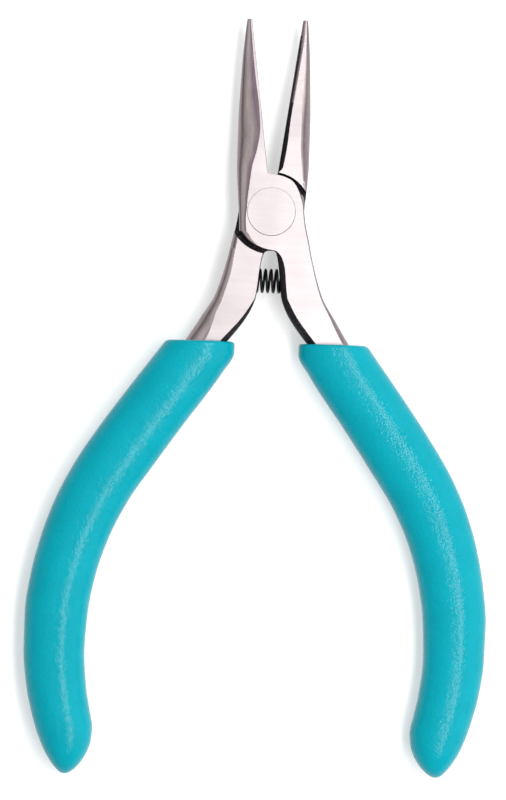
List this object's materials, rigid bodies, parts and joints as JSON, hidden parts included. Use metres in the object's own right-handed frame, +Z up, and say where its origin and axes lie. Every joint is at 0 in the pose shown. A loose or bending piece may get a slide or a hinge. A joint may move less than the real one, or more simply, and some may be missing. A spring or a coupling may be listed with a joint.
{
  "type": "round nose pliers",
  "caption": "Miniature round nose pliers with a lap joint, a coil return spring between the shanks and thick cushion grips on bowed handles.",
  "frame": {"origin": "on the pivot axis, at the rivet's lower flat face, with the tool lying flat", "axes": "+Z up through the tool's thickness, +Y from the pivot towards the jaw tips, +X to the right with the jaws pointing away"},
  "size_m": [0.0739, 0.1218, 0.0088],
  "materials": {
    "forged_steel": "ground flats and polished bevels",
    "rivet_steel": "ground flush",
    "spring_steel": "black oiled spring wire",
    "grip_vinyl": "dipped cushion vinyl, satin"
  },
  "bodies": {
    "front": {"front_half": "forged_steel", "pivot_rivet": "rivet_steel", "right_grip": "grip_vinyl", "return_spring": "spring_steel"},
    "rear": {"rear_half": "forged_steel", "left_grip": "grip_vinyl"}
  },
  "joints": [
    {"name": "jaw_pivot", "type": "hinge", "parent": "front", "child": "rear", "pos_m": [0, 0, 0.003], "axis": [0, 0, 1], "range_deg": [-10, 14.7], "stiffness_Nm_per_rad": 0.165, "deforming": ["return_spring"]}
  ]
}
